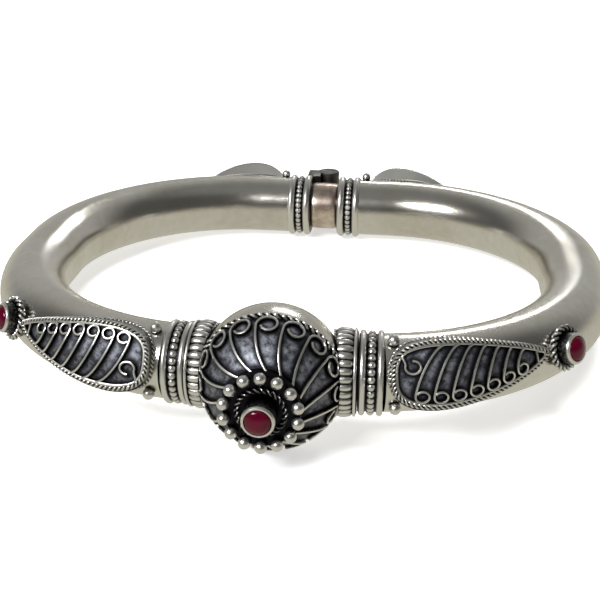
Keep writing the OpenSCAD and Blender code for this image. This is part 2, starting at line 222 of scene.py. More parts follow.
def wire_outline(half, low, high, corner=0.08):
    """Cross-section of a flat wire standing on its edge, its top corners rounded, and its polish."""
    points = [
        (half, low),
        (half, high - corner),
        (half - 0.3 * corner, high - 0.3 * corner),
        (half - corner, high),
    ]
    points += [(-x, y) for x, y in reversed(points)]
    return points, [0.0, 0.4, 1.0, 1.0, 1.0, 1.0, 0.4, 0.0]


def lathe(bm, outline, steps, closed=True, crest=None):
    """Turns an outline of (radius, height) about Z."""
    layer = bm.verts.layers.float.get("crest") or bm.verts.layers.float.new("crest")
    verts = [bm.verts.new((r, 0, z)) for r, z in outline]
    for v, share in zip(verts, crest or [1.0] * len(verts)):
        v[layer] = share
    edges = [bm.edges.new(pair) for pair in zip(verts, verts[1:])]
    if closed:
        edges.append(bm.edges.new((verts[-1], verts[0])))
    bmesh.ops.spin(
        bm, geom=verts + edges, cent=(0, 0, 0), axis=(0, 0, 1), angle=math.tau, steps=steps, use_merge=True
    )
    return bm


def grain(bm, matrix, r):
    """A round grain, darker round its foot."""
    layer = bm.verts.layers.float.get("crest") or bm.verts.layers.float.new("crest")
    made = bmesh.ops.create_icosphere(bm, subdivisions=3, radius=r)["verts"]
    for v in made:
        v[layer] = max(0.0, min(1.0, 0.75 + v.co.z / r))
    bmesh.ops.transform(bm, matrix=matrix, verts=made)


def rope(bm, frames, turns, strand, spread, sides=8, closed=False, worn=1.0):
    """Two strands twisted about the frames' own line, rubbed bright by the share worn."""
    crest = [worn * (0.45 + 0.6 * math.cos(math.tau * i / sides)) for i in range(sides)]
    n = len(frames) if closed else len(frames) - 1
    for k in range(2):
        twisted = [
            f
            @ Matrix.Rotation(math.tau * turns * i / n + math.pi * k, 4, "Z")
            @ Matrix.Translation((spread, 0, 0))
            for i, f in enumerate(frames)
        ]
        sweep(bm, round_outline(strand, sides), twisted, closed=closed, crest=crest)


# Materials


class Value:
    """A socket whose number changes over the surface, with arithmetic that adds Math nodes."""

    def __init__(self, finish, socket):
        self.finish, self.socket = finish, socket

    def _math(self, operation, a, b):
        made = self.finish.node("Math", {"operation": operation}, {0: a, 1: b})
        return Value(self.finish, made.outputs[0])

    def __add__(self, other):
        return self._math("ADD", self, other)

    def __radd__(self, other):
        return self._math("ADD", other, self)

    def __sub__(self, other):
        return self._math("SUBTRACT", self, other)

    def __mul__(self, other):
        return self._math("MULTIPLY", self, other)

    def __rmul__(self, other):
        return self._math("MULTIPLY", other, self)


class Finish:
    """A metal or stone finish: one Principled shader and the nodes that feed it."""

    def __init__(self, name, **constants):
        self.material = bpy.data.materials.new(name)
        self.material.use_nodes = True
        self.tree = self.material.node_tree
        self.tree.nodes.clear()
        self.shader = self.node("BsdfPrincipled", {}, constants)
        output = self.node("OutputMaterial")
        self.tree.links.new(self.shader.outputs[0], output.inputs["Surface"])
        self.place = Value(self, self.node("TexCoord").outputs["Object"])

    def node(self, kind, settings=None, sockets=None):
        made = self.tree.nodes.new("ShaderNode" + kind)
        for key, value in (settings or {}).items():
            if key == "stops":
                ramp = made.color_ramp.elements
                while len(ramp) < len(value):
                    ramp.new(1.0)
                for element, (position, colour) in zip(ramp, value):
                    element.position, element.color = position, colour
            else:
                setattr(made, key, value)
        for key, value in (sockets or {}).items():
            if isinstance(value, Value):
                self.tree.links.new(value.socket, made.inputs[key])
            else:
                made.inputs[key].default_value = value
        return made

    def noise(self, grain_mm, detail=3.0, rough=0.5, place=None):
        """Noise whose blots are about grain_mm across."""
        made = self.node(
            "TexNoise",
            {},
            {
                "Vector": place or self.place,
                "Scale": 1000 / grain_mm,
                "Detail": detail,
                "Roughness": rough,
            },
        )
        return Value(self, made.outputs["Fac"])

    def mask(self, name):
        return Value(self, self.node("Attribute", {"attribute_name": name}).outputs["Fac"])

    def ramp(self, value, *stops):
        made = self.node("ValToRGB", {"stops": [(p, (*c, 1.0)) for p, c in stops]}, {0: value})
        return Value(self, made.outputs["Color"])

    def mix(self, share, a, b):
        made = self.node("Mix", {"data_type": "RGBA"}, {0: share, 6: a, 7: b})
        return Value(self, made.outputs[2])

    def feed(self, **sockets):
        for key, value in sockets.items():
            self.tree.links.new(value.socket, self.shader.inputs[key.replace("_", " ")])

    def bump(self, height, depth_mm, strength=1.0):
        made = self.node("Bump", {}, {"Height": height, "Distance": depth_mm / 1000, "Strength": strength})
        self.feed(Normal=Value(self, made.outputs["Normal"]))


def rgba(colour):
    return (*colour, 1.0)


def smooth_silver(sizes):
    """Polished silver with hairline scratches and a thin warm tarnish."""
    finish = Finish("polished_silver", **{"Metallic": 1.0})
    tarnish = finish.noise(9.0, 4.0)
    haze = finish.noise(1.1, 3.0, 0.6)
    finish.feed(
        Base_Color=finish.mix(
            finish.ramp(tarnish * 0.7 + haze * 0.3, (0.35, (0, 0, 0)), (0.68, (1, 1, 1))),
            rgba(sizes.silver),
            rgba([c * k for c, k in zip(sizes.silver, (0.84, 0.82, 0.77))]),
        ),
        Roughness=0.15 + 0.12 * haze,
    )
    stretched = finish.node("Mapping", {}, {"Vector": finish.place, "Scale": (1.0, 1.0, 7.0)})
    scratches = finish.noise(0.5, 5.0, 0.75, Value(finish, stretched.outputs[0]))
    finish.bump(scratches + finish.noise(6.0, 2.0) * 4.0, 0.006)
    return finish.material


def wire_silver(sizes):
    """Soldered wire and grains: bright where a cloth has rubbed, black in the recesses, and darker on fluted
    panel walls as painted shade.
    """
    finish = Finish("worked_silver", **{"Metallic": 1.0})
    blots = finish.noise(0.35, 4.0, 0.65)
    worn = finish.mask("crest") + (blots - 0.5) * 0.5
    share = finish.ramp(worn, (0.22, (0, 0, 0)), (0.82, (1, 1, 1)))
    finish.feed(
        Base_Color=finish.mix(share, rgba(sizes.oxide), rgba(sizes.wire)),
        Roughness=0.24 + 0.2 * blots,
    )
    finish.bump(finish.noise(0.18, 3.0, 0.6), 0.008)
    return finish.material


def black_floor(sizes):
    """Oxidised floor: blotted blue-grey in the open cells, black beside the wires; higher up the blue-grey
    grows stronger, as painted light from above.
    """
    finish = Finish("oxidised_silver", **{"Metallic": 0.85})
    stipple = finish.noise(0.16, 3.0, 0.7)
    blots = finish.ramp(finish.noise(0.7, 4.0, 0.65), (0.38, (0, 0, 0)), (0.64, (1, 1, 1)))
    # Painted light from above: the open cells' blue-grey grows with height in the object, from 0.3 at 3 mm to
    # whole at 13 mm.
    height = Value(finish, finish.node("SeparateXYZ", {}, {0: finish.place}).outputs["Z"])
    painted_top_light = finish.node(
        "MapRange", {}, {"Value": height, "From Min": 0.003, "From Max": 0.013, "To Min": 0.3}
    )
    cells = finish.mask("open") * Value(finish, painted_top_light.outputs[0])
    bloom = cells * (0.15 + blots * 0.85) * (0.3 + stipple)
    finish.feed(
        Base_Color=finish.mix(bloom, rgba(sizes.oxide), rgba(sizes.bloom)),
        Roughness=0.34 + 0.25 * stipple,
    )
    finish.bump(stipple, 0.05)
    return finish.material


def plain_metal(name, colour, dark, rough):
    """Smooth metal with cloudy tarnish."""
    finish = Finish(name, **{"Metallic": 1.0})
    cloud = finish.noise(1.6, 4.0, 0.6)
    finish.feed(
        Base_Color=finish.mix(
            finish.ramp(cloud, (0.35, (0, 0, 0)), (0.7, (1, 1, 1))), rgba(colour), rgba(dark)
        ),
        Roughness=rough + 0.15 * cloud,
    )
    finish.bump(finish.noise(0.3, 3.0), 0.006)
    return finish.material


def cabochon_red(sizes):
    """Polished crimson stone with darker clouds in it."""
    finish = Finish(
        "ruby",
        **{
            "Metallic": 0.0,
            "IOR": 1.45,
            "Specular IOR Level": 0.3,
            "Coat Weight": 0.12,
            "Coat Roughness": 0.03,
        },
    )
    silk = finish.noise(0.9, 3.0)
    finish.feed(
        Base_Color=finish.mix(silk, rgba(sizes.ruby), rgba([c * 0.45 for c in sizes.ruby])),
        Roughness=0.1 + 0.06 * silk,
    )
    return finish.material


MATERIALS = {
    "polished_silver": smooth_silver,
    "worked_silver": wire_silver,
    "oxidised_silver": black_floor,
    "hinge_bronze": lambda sizes: plain_metal(
        "hinge_bronze", sizes.bronze, (0.42, 0.30, 0.25), 0.22
    ),
    "hinge_metal": lambda sizes: plain_metal(
        "hinge_metal", (0.20, 0.195, 0.185), (0.07, 0.07, 0.07), 0.36
    ),
    "ruby": cabochon_red,
}


finished = {}


def material(slot):
    if slot not in finished:
        finished[slot] = MATERIALS[slot](bpy.context.scene.bangle)
    return finished[slot]


def finish_piece(bm, name, body, slot, place=None, left=False, replaces=(), sharp=40):
    """Lays a finished mesh down with the bangle, gives it its metal and lets it ride on its body."""
    if place is not None:
        bmesh.ops.transform(bm, matrix=place, verts=bm.verts)
    bmesh.ops.remove_doubles(bm, verts=bm.verts, dist=1e-4)
    if left:
        bmesh.ops.transform(bm, matrix=TO_LEFT, verts=bm.verts)
    bmesh.ops.recalc_face_normals(bm, faces=bm.faces)
    bmesh.ops.transform(bm, matrix=LAY_DOWN, verts=bm.verts)
    mesh = bpy.data.meshes.new(name)
    bm.to_mesh(mesh)
    bm.free()
    mesh.shade_smooth()
    mesh.set_sharp_from_angle(angle=math.radians(sharp))
    piece = bpy.data.objects.new(name, mesh)
    bpy.context.scene.collection.objects.link(piece)
    mesh.materials.append(material(slot))
    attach(piece, body)
    if replaces:
        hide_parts(*replaces)
    return piece


def dress_node(name, slot):
    """Gives a CAD node that keeps its own shape its metal."""
    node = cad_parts[name]
    node.data.materials.clear()
    node.data.materials.append(material(slot))


def sides():
    """Each half of the bangle: its name, whether it is the mirrored one, and its body."""
    return (("left", True, LEFT), ("right", False, RIGHT))


# Tube


def tube_skin(set_at):
    start = SEAM_AT + set_at + FRONT_SET - 0.12
    end = HALF_LEN - BACK_TUBE_END + 0.3
    count = 130
    frames = []
    for i in range(count + 1):
        m = along(start + (end - start) * i / count)
        frames.append(frame_of(m.col[3].xyz, m.col[1].xyz, m.col[2].xyz, m.col[0].xyz))
    bm = bmesh.new()
    sweep(bm, round_outline(TUBE_R, 96), frames)
    return bm


# Ball


def dome_point(across, out, height, turn):
    """Point of the dome: out from the flower's axis along the surface, in the direction turn."""
    polar = out / DOME_R
    around = turn + across / (DOME_R * math.sin(polar))
    up = Vector((math.sin(polar) * math.sin(around), -math.cos(polar), math.sin(polar) * math.cos(around)))
    return up * (DOME_R + height), up


def bezier(a, b, c, d, count):
    for i in range(count):
        u = i / count
        yield (1 - u) ** 3 * a + 3 * u * (1 - u) ** 2 * b + 3 * u * u * (1 - u) * c + u**3 * d


def curl(foot, bend, centre, r, sweep_angle, steps=14, turns=26, shrink=0.0, open_by=0.0):
    """Line of a curled wire: along its stem and round its loop, which draws in as it goes."""
    side = centre - Vector((r * (1 + open_by), 0))
    points = list(bezier(foot, bend, side - Vector((0, 1.7 * r)), side, steps))
    for i in range(turns + 1):
        a = math.pi - sweep_angle * i / turns
        reach = r * (1 + open_by * (1 - i / turns) ** 3 - shrink * i / turns)
        points.append(centre + reach * Vector((math.cos(a), math.sin(a))))
    return points


RIM_ANGLE = math.acos((ROPE_PLANE + 0.32) / DOME_R)


def rib_line():
    """A dome wire as (across, out): a stem shaped like a C that ends in an open loop."""
    foot = DOME_R * math.asin((FLOWER_BASE - 0.1) / DOME_R)
    length = DOME_R * RIM_ANGLE - foot
    r = 0.9
    return curl(
        Vector((0.45, foot - 0.3)),
        Vector((-0.75, foot + 0.2 * length)),
        Vector((0.05, foot + length - r - 0.25)),
        r,
        math.radians(342),
        shrink=0.14,
        open_by=0.35,
    )


def wire_on(bm, points, ups, half, low, high):
    outline, crest = wire_outline(half, low, high)
    sweep(bm, outline, frames_along(points, ups), crest=crest)


class DomeWires:
    """The dome's curled wires, and their points for the floor's shading."""

    def __init__(self, count):
        self.lines = []
        for k in range(count):
            turn = math.tau * k / count
            self.lines.append([dome_point(p.x, p.y, 0.0, turn) for p in rib_line()])

    def mesh(self):
        bm = bmesh.new()
        for line in self.lines:
            wire_on(bm, [p for p, _ in line], [up for _, up in line], 0.13, -0.05, 0.45)
        return bm

    def points(self):
        return [p for line in self.lines for p, _ in line]


def shade_open(bm, wires, near, far):
    """Writes how open the floor is at each vertex: 0 beside a wire, 1 in the middle of a cell."""
    tree = kdtree.KDTree(len(wires))
    for i, p in enumerate(wires):
        tree.insert(p, i)
    tree.balance()
    layer = bm.verts.layers.float.new("open")
    for v in bm.verts:
        gap = tree.find(v.co)[2]
        share = max(0.0, min(1.0, (gap - near) / (far - near)))
        v[layer] = share * share * (3 - 2 * share)


def part_sphere(r, low_y, high_y, segments):
    """Ball with its poles before and behind, cut square at two planes."""
    bm = bmesh.new()
    bmesh.ops.create_uvsphere(bm, u_segments=segments, v_segments=segments // 2, radius=r)
    bmesh.ops.rotate(bm, cent=(0, 0, 0), matrix=Matrix.Rotation(math.pi / 2, 3, "X"), verts=bm.verts)
    for co, normal in (((0, low_y, 0), (0, -1, 0)), ((0, high_y, 0), (0, 1, 0))):
        geom = bm.verts[:] + bm.edges[:] + bm.faces[:]
        bmesh.ops.bisect_plane(bm, geom=geom, plane_co=co, plane_no=normal, clear_outer=True)
    return bm


def ball_shell():
    """Polished wall of the ball behind the rope."""
    bm = part_sphere(BALL_R, -ROPE_PLANE, BALL_R + 1, 128)
    bmesh.ops.recalc_face_normals(bm, faces=bm.faces)
    bmesh.ops.solidify(bm, geom=bm.faces[:], thickness=0.8)
    return bm


def dome_floor(wires):
    """Blackened wall of the dome, shaded by its distance to the wires, the rim and the flower."""
    bm = part_sphere(DOME_R, -math.sqrt(DOME_R**2 - FLOWER_BASE**2), -ROPE_PLANE, 320)
    marks = list(wires)
    for polar in (RIM_ANGLE, math.asin(FLOWER_BASE / DOME_R)):
        marks += [dome_point(0, DOME_R * polar, 0, math.tau * i / 300)[0] for i in range(300)]
    shade_open(bm, marks, 0.2, 0.75)
    bmesh.ops.recalc_face_normals(bm, faces=bm.faces)
    bmesh.ops.solidify(bm, geom=bm.faces[:], thickness=0.5)
    return bm


def ball_rope():
    r = math.sqrt(BALL_R**2 - ROPE_PLANE**2) - 0.12
    n = 720
    turns = (math.tau * i / n for i in range(n))
    points = [Vector((r * math.sin(a), -ROPE_PLANE, r * math.cos(a))) for a in turns]
    ups = [Vector((p.x, 0, p.z)).normalized() for p in points]
    bm = bmesh.new()
    rope(bm, frames_along(points, ups, closed=True), 30, 0.19, 0.15, closed=True)
    return bm


def clear_of_ball(bm):
    """Presses what reaches into the ball's room back along X to the room's edge."""
    for v in bm.verts:
        p = v.co - BALL.translation
        if p.length < BALL_ROOM:
            v.co.x = math.sqrt(BALL_ROOM**2 - p.y**2 - p.z**2)


# Flower


def cup_and_collar(bm, bottom, top):
    """Bezel: a cup whose thin rim is rubbed over the stone."""
    r, outer = RUBY_R, RUBY_R + CUP_WALL
    outline = [
        (r - 0.55, bottom), (outer - 0.02, bottom), (outer, bottom + 0.15), (outer, top - 0.25),
        (outer - 0.06, top - 0.06), (outer - 0.16, top + 0.05), (r - 0.02, top + 0.06),
        (r - 0.08, top - 0.05), (r - 0.05, top - 0.5), (r - 0.5, top - 0.5),
    ]
    crest = [0.0, 0.0, 0.1, 0.3, 1.0, 1.0, 1.0, 0.6, 0.0, 0.0]
    lathe(bm, outline, 64, crest=crest)


def ring_of_rope(bm, r, level, turns, strand, spread, n, worn=1.0):
    angles = (math.tau * i / n for i in range(n))
    points = [Vector((r * math.cos(a), r * math.sin(a), level)) for a in angles]
    frames = frames_along(points, [Vector((0, 0, 1))] * n, closed=True)
    rope(bm, frames, turns, strand, spread, closed=True, worn=worn)


def flower(count, circle):
    bm = bmesh.new()
    top = FLOWER_TOP
    foot = top - 1.9
    lathe(
        bm,
        [(0.9, foot), (FLOWER_BASE, foot), (FLOWER_BASE, top - 0.12), (FLOWER_BASE - 0.1, top), (0.9, top)],
        96,
        crest=[0.0] * 5,
    )
    for i in range(count):
        turn = Matrix.Rotation(math.tau * (i + 0.5) / count, 4, "Z")
        grain(bm, turn @ Matrix.Translation((circle, 0, top + 0.5)), GRAIN_R)
    ring_of_rope(bm, 2.45, top + 0.22, 12, 0.17, 0.14, 240, worn=0.45)
    cup_and_collar(bm, top - 0.5, FLOWER_REACH)
    return bm


def stone(top):
    """Cabochon: a girdle in its cup and a low dome over it."""
    r = RUBY_R
    arc = (r * r + CABOCHON**2) / (2 * CABOCHON)
    outline = [(0.0, top - 0.6), (r - 0.09, top - 0.6), (r - 0.09, top - 0.02)]
    limit = math.asin((r - 0.09) / arc)
    for i in range(9, -1, -1):
        a = limit * i / 10
        outline.append((arc * math.sin(a), top + CABOCHON - arc * (1 - math.cos(a))))
    outline[-1] = (0.0, top + CABOCHON)
    bm = bmesh.new()
    lathe(bm, outline, 48, closed=False)
    return bm


# Collars and rings


def ring_frames(r, at, steps, swell=None):
    """Frames round the tube's own direction X, their Y outwards, their outlines scaled by swell."""
    rows = []
    for i in range(steps):
        a = math.tau * i / steps
        radial = Vector((0, math.cos(a), math.sin(a)))
        way = Vector((0, -math.sin(a), math.cos(a)))
        f = frame_of(radial * r + Vector((at, 0, 0)), Vector((1, 0, 0)), radial, way)
        if swell:
            wide, tall = swell(i / steps)
            f = f @ Matrix.Diagonal((wide, tall, 1, 1))
        rows.append(f)
    return rows


def plain_ring(bm, crest_r, half, at, steps=128):
    crest = [0.4 + 0.75 * math.sin(math.tau * i / 12) for i in range(12)]
    sweep(bm, round_outline(half, 12), ring_frames(crest_r - half, at, steps), closed=True, crest=crest)


def beaded_ring(bm, crest_r, half, at, beads, steps=8):
    """Beaded wire: a row of round beads with a narrow neck between each two."""

    def swell(turn):
        share = 0.62 + 0.38 * abs(math.sin(math.pi * beads * turn)) ** 0.7
        return share, share

    crest = [0.4 + 0.75 * math.sin(math.tau * i / 10) for i in range(10)]
    frames = ring_frames(crest_r - half, at, beads * steps, swell)
    fade = [abs(math.sin(math.pi * i / steps)) ** 0.6 for i in range(beads * steps)]
    sweep(bm, round_outline(half, 10), frames, closed=True, crest=crest, fade=fade)


def core_ring(bm, r, start, end):
    """Plain band under the wires of a ring set."""
    outline = [(BORE_R, start), (r, start), (r, end), (BORE_R, end)]
    made = bmesh.new()
    lathe(made, outline, 96, crest=[0.0] * 4)
    bmesh.ops.transform(made, matrix=Matrix.Rotation(math.pi / 2, 4, "Y"), verts=made.verts)
    join(bm, made)


def join(bm, other):
    """Adds the mesh of other to bm."""
    mesh = bpy.data.meshes.new("joined")
    other.to_mesh(mesh)
    other.free()
    bm.from_mesh(mesh)
    bpy.data.meshes.remove(mesh)


def plate(bm, r, at, thick, slot=None):
    """Disc across the tube, whole or with a slot of (half width, half height)."""
    steps = 48
    layer = bm.verts.layers.float.get("crest") or bm.verts.layers.float.new("crest")
    turns = (math.tau * i / steps for i in range(steps))
    outer = [bm.verts.new((at, r * math.cos(a), r * math.sin(a))) for a in turns]
    for v in outer:
        v[layer] = 0.7
    rim = [bm.edges.new(pair) for pair in zip(outer, outer[1:] + outer[:1])]
    if slot:
        inner = []
        for v in outer:
            y, z = v.co.y / r, v.co.z / r
            scale = min(slot[0] / max(abs(y), 1e-6), slot[1] / max(abs(z), 1e-6))
            inner.append(bm.verts.new((at, y * scale, z * scale)))
        hole = [bm.edges.new(pair) for pair in zip(inner, inner[1:] + inner[:1])]
        faces = bmesh.ops.bridge_loops(bm, edges=rim + hole)["faces"]
    else:
        faces = bmesh.ops.contextual_create(bm, geom=rim)["faces"]
    made = bmesh.ops.extrude_face_region(bm, geom=faces)["geom"]
    verts = [g for g in made if isinstance(g, bmesh.types.BMVert)]
    bmesh.ops.translate(bm, vec=(-thick, 0, 0), verts=verts)


def collar(slotted):
    """Collar beside the ball: lobed all round between a thin wire and a row of small beads."""
    bm = bmesh.new()
    lobes = 34

    def swell(turn):
        wave = abs(math.sin(math.pi * lobes * turn)) ** 0.55
        return 0.9 + 0.1 * wave, 0.86 + 0.14 * wave

    half, rise = 1.0, COLLAR_R - BORE_R
    outline, crest = [], []
    for i in range(9):
        a = math.pi * i / 8
        outline.append((half * math.cos(a), rise - 0.5 + 0.5 * math.sin(a)))
        crest.append(0.1 + 0.95 * math.sin(a))
    outline += [(-half, 0.3), (half, 0.3)]
    crest += [0.0, 0.0]
    frames = ring_frames(BORE_R, -1.3, lobes * 10, swell)
    fade = [0.1 + 0.9 * abs(math.sin(math.pi * i / 10)) ** 0.7 for i in range(lobes * 10)]
    sweep(bm, outline, frames, closed=True, crest=crest, fade=fade)
    plain_ring(bm, COLLAR_R - 0.1, 0.17, -0.17)
    beaded_ring(bm, COLLAR_R - 0.25, 0.2, -2.45, 46, 6)
    core_ring(bm, COLLAR_R - 0.42, -COLLAR_WIDTH, 0.1 if slotted else -0.02)
    core_ring(bm, BORE_R + 0.7, -COLLAR_WIDTH - 1.6, -COLLAR_WIDTH + 0.1)
    if slotted:
        plate(bm, BORE_R + 0.3, 0, 0.6, slot=(0.95, 1.85))
    return bm


def front_rings(plated):
    """Front ring set: a beaded wire between two plain ones."""
    bm = bmesh.new()
    plain_ring(bm, RING_R, 0.35, 0.35)
    beaded_ring(bm, RING_R - 0.02, 0.44, FRONT_SET / 2, 34)
    plain_ring(bm, RING_R, 0.35, FRONT_SET - 0.35)
    core_ring(bm, RING_R - 0.42, -0.1 if plated else 0.02, FRONT_SET - 0.02)
    if plated:
        plate(bm, BORE_R + 0.3, 0.6, 0.6)
    return bm


def back_rings():
    """Back ring set: the same, with wider plain wires and a thinner beaded one."""
    bm = bmesh.new()
    plain_ring(bm, RING_R, 0.52, 0.56)
    beaded_ring(bm, RING_R - 0.12, 0.42, BACK_SET / 2, 34)
    plain_ring(bm, RING_R, 0.52, BACK_SET - 0.56)
    core_ring(bm, RING_R - 0.5, 0.02, BACK_SET - 0.02)
    plate(bm, BORE_R + 0.3, 0.6, 0.6)
    return bm


# Panels


class Panel:
    """One teardrop panel: where it starts, which way it runs, and how its outline swells."""

    def __init__(self, start, way, length, peak, curls, up, fluted_and_shaded=True):
        self.start, self.way, self.length, self.peak = start, way, length, peak
        self.curls, self.up, self.fluted_and_shaded = curls, up, fluted_and_shaded

    def width(self, x):
        share = max(0.0, min(1.0, x / self.length))
        turn = math.pi * share ** (math.log(0.5) / math.log(self.peak))
        return PANEL_HALF * max(0.0, math.sin(turn)) ** PANEL_FULLNESS

    def point(self, x, across, level):
        s = self.start + self.way * x
        a = path_angle(s)
        out = Vector((math.sin(a), -math.cos(a), 0))
        axis = math.cos(PANEL_TILT) * out + Vector((0, 0, math.sin(PANEL_TILT)))
        side = -math.sin(PANEL_TILT) * out + Vector((0, 0, math.cos(PANEL_TILT)))
        return path_point(s) + level * axis + across * side, axis

    def floor(self, x, across):
        w = max(self.width(x), 0.3)
        rise = max(0.0, 1 - (across / w) ** 2) * math.sin(math.pi * min(1.0, x / self.length))
        return PANEL_LEVEL - PANEL_LIP + (PANEL_LIP + PANEL_DOME) * rise

    def seat(self, across):
        return math.sqrt((TUBE_R - 0.02) ** 2 - across**2)

    def outline(self, n, by=0.0):
        """Outline as (along, across), drawn in by a few tenths and evenly spaced."""
        fine = 400
        xs = [self.length * (1 - math.cos(math.pi * i / fine)) / 2 for i in range(fine + 1)]
        loop = [Vector((x, self.width(x))) for x in xs] + [Vector((x, -self.width(x))) for x in xs[-2:0:-1]]
        m = len(loop)
        drawn = []
        for i, p in enumerate(loop):
            d = loop[(i + 1) % m] - loop[i - 1]
            drawn.append(p + by * Vector((d.y, -d.x)).normalized())
        if by:
            drawn = [p for p in drawn if by * 0.75 < p.x < self.length - by * 1.6]
        m = len(drawn)
        steps = [(drawn[(i + 1) % m] - drawn[i]).length for i in range(m)]
        total, spaced, run, i = sum(steps), [], 0.0, 0
        for k in range(n):
            goal = total * k / n
            while run + steps[i] < goal:
                run += steps[i]
                i += 1
            spaced.append(drawn[i].lerp(drawn[(i + 1) % m], (goal - run) / steps[i]))
        return spaced, total

    def line(self, flat, height=0.0):
        """Points and upward directions on the floor for a line of the plane."""
        rows = [self.point(p.x, p.y, self.floor(p.x, p.y) + height) for p in flat]
        return [p for p, _ in rows], [up for _, up in rows]

    def rim(self, bm):
        """Box wall, fluted or plain, a twisted wire on its edge and another at its foot; a fluted wall is
        darkened towards its foot as painted shade.
        """
        n, total = 720, self.outline(8)[1]
        flutes = round(total / 0.42)
        outer, _ = self.outline(n, 0.2)
        frames = []
        for i, p in enumerate(outer):
            top, axis = self.point(p.x, p.y, PANEL_LEVEL)
            ahead, _ = self.point(*outer[(i + 1) % n], PANEL_LEVEL)
            behind, _ = self.point(*outer[i - 1], PANEL_LEVEL)
            way = (ahead - behind).normalized()
            side = axis.cross(way).normalized()
            tall = PANEL_LEVEL - self.seat(p.y) - 0.1
            flute = 1 + (0.12 * math.sin(math.tau * flutes * i / n) if self.fluted_and_shaded else 0)
            frames.append(frame_of(top, side * flute, axis * tall, way))
        outline = [(-0.2, -0.05), (0.2, -0.05), (0.2, -1.0), (-0.2, -1.0)]
        # Painted shade: a fluted wall gets 0.55 polish on top and 0.2 at its foot; a plain wall stays fully
        # bright.
        sweep(bm, outline, frames, closed=True, crest=[0.55, 0.55, 0.2, 0.2] if self.fluted_and_shaded else [1.0] * 4)
        for level, strand, spread, by, pitch in ((0.0, 0.17, 0.12, 0.22, 0.95), (-1.0, 0.15, 0.1, 0.06, 0.95)):
            flat, _ = self.outline(n, by)
            rows = []
            for p in flat:
                low = self.seat(p.y) + 0.2 if level else PANEL_LEVEL
                rows.append(self.point(p.x, p.y, low))
            points, ups = [p for p, _ in rows], [up for _, up in rows]
            rope(bm, frames_along(points, ups, closed=True), round(total / pitch), strand, spread, closed=True)

    def wires(self):
        """Flat lines of the panel's wires: the curls, the long first one, the one round the point."""
        edge = lambda x: self.width(x) - PANEL_WALL
        first, last = 2.6, 0.86 * self.length
        pitch = (last - first) / self.curls
        lines = []
        for i in range(self.curls):
            x = first + pitch * i
            r = min(0.38 * pitch, 0.38 * edge(x))
            centre = Vector((x, edge(x) - r - 0.2))
            foot_x = x + 0.17 * (self.length - x)
            foot = Vector((foot_x, 0.1 - edge(foot_x)))
            bend = foot + Vector((-0.55 * (foot_x - x) - 0.3, 0.12 * edge(x)))
            lines.append(curl(foot, bend, centre, r, math.radians(320), shrink=0.12))
        r = 0.42 * pitch
        centre = Vector((first * 0.72, -0.3 * edge(first)))
        start = 0.36 * self.length
        run = [Vector((x, 0.12 - edge(x))) for x in (start - (start - 0.9) * i / 16 for i in range(16))]
        turns = (math.pi + 0.3 - 5.0 * i / 24 for i in range(25))
        around = [centre + r * Vector((math.cos(a), math.sin(a))) for a in turns]
        ahead, behind = run[-1] + Vector((-0.45, 0.35)), around[0] - Vector((0.02, 0.6))
        lines.append(run[:-1] + list(bezier(run[-1], ahead, behind, around[0], 8)) + around)
        at, reach, half = self.length * 0.86, 0.09 * self.length, 0.55 * edge(self.length * 0.86)
        turns = (math.tau * i / 24 for i in range(24))
        tip = [Vector((at + reach * math.cos(a), half * math.sin(a))) for a in turns]
        lines.append([p for p in tip if p.x > at])
        return [[Vector((p.x, self.up * p.y)) for p in line] for line in lines]

    def filigree(self):
        bm = bmesh.new()
        for line in self.wires():
            points, ups = self.line(line)
            wire_on(bm, points, ups, 0.12, -0.05, 0.45)
        flat, _ = self.outline(300, PANEL_WALL + 0.04)
        points, ups = self.line(flat)
        outline, crest = wire_outline(0.12, -0.3, 0.42)
        sweep(bm, outline, frames_along(points, ups, closed=True), closed=True, crest=crest)
        return bm

    def floor_sheet(self):
        """Domed black floor, shaded by its distance to the wires and the wall."""
        bm = bmesh.new()
        bmesh.ops.create_grid(bm, x_segments=110, y_segments=40, size=0.5)
        inner, _ = self.outline(300, PANEL_WALL)
        marks = [self.point(p.x, p.y, self.floor(p.x, p.y))[0] for p in inner]
        for line in self.wires():
            marks += self.line(line)[0]
        for v in bm.verts:
            x = self.length * (0.03 + 0.95 * (v.co.x + 0.5))
            across = 2 * v.co.y * (self.width(x) - 0.1)
            v.co = self.point(x, across, self.floor(x, across))[0]
        shade_open(bm, marks, 0.22, 0.85)
        bmesh.ops.solidify(bm, geom=bm.faces[:], thickness=0.3)
        return bm


FRONT_PANELS = {
    "left": Panel(PANEL_AT, 1, FRONT_PANEL, 0.27, 7, 1),
    "right": Panel(PANEL_AT, 1, FRONT_PANEL, 0.27, 7, -1),
}
BACK_PANELS = {
    "left": Panel(BACK_PANEL_AT, -1, BACK_PANEL, 0.4, 4, 1, fluted_and_shaded=False),
    "right": Panel(BACK_PANEL_AT, -1, BACK_PANEL, 0.4, 4, -1, fluted_and_shaded=False),
}


def grains(stations):
    bm = bmesh.new()
    for s, tilt in stations:
        grain(bm, outward(s, tilt) @ Matrix.Translation((0, 0, TUBE_R + GRAIN_R - 0.25)), GRAIN_R)
    return bm


def corner_stations(s):
    return [(s, PANEL_TILT + math.radians(51) * way) for way in (-1, 1)]


# Side settings


def side_setting():
    bm = bmesh.new()
    level = TUBE_R + 0.3
    outline = [(0.9, 3.4), (2.1, 3.4), (2.2, level - 0.1), (2.0, level + 0.15), (0.9, level + 0.2)]
    lathe(bm, outline, 64, crest=[0.0, 0.2, 0.3, 0.1, 0.0])
    ring_of_rope(bm, 2.2, level + 0.15, 10, 0.24, 0.17, 200)
    cup_and_collar(bm, 4.0, SIDE_REACH)
    return bm


# Stage

